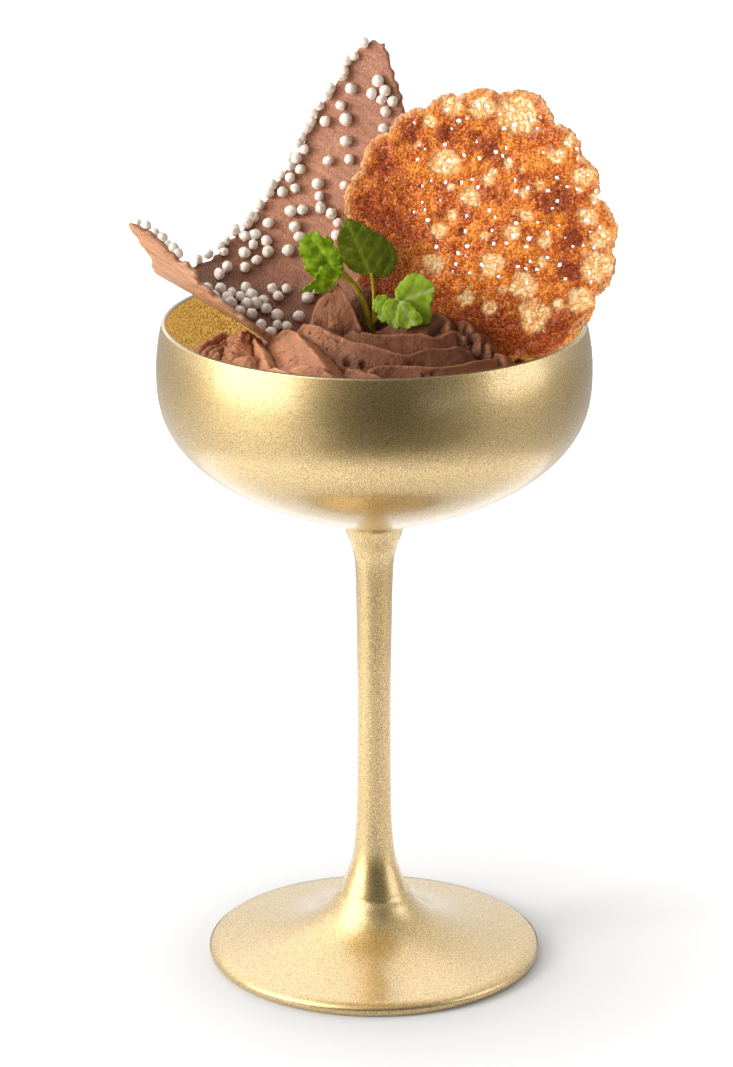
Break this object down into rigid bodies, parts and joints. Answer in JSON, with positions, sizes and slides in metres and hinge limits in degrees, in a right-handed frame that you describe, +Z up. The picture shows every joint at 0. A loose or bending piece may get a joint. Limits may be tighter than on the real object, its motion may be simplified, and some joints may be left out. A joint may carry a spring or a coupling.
{
  "type": "chocolate mousse in a stemmed coupe glass",
  "caption": "Piped chocolate mousse in a gold-lacquered stemmed coupe, with a curled chocolate sheet, a round caramel tuile and a herb sprig standing in it.",
  "frame": {"origin": "centre of the foot's flat underside", "axes": "+Z up along the stem; the dessert's front, where the low wing of the chocolate sheet is at the left, faces -Y; +X to the right"},
  "size_m": [0.1161, 0.1052, 0.2261],
  "materials": {
    "gold_lacquer": "clear glass lacquered in fine metallic gold, semi-gloss",
    "chocolate_mousse": "soft, satin, slightly moist",
    "milk_chocolate": "matte, fine grained",
    "caramel": "glossy, amber, lacy",
    "herb_green": "satin leaf"
  },
  "bodies": {
    "root": {"coupe": "gold_lacquer", "mousse": "chocolate_mousse", "chocolate_sheet": "milk_chocolate", "caramel_tuile": "caramel", "herb_sprig": "herb_green"}
  },
  "joints": []
}
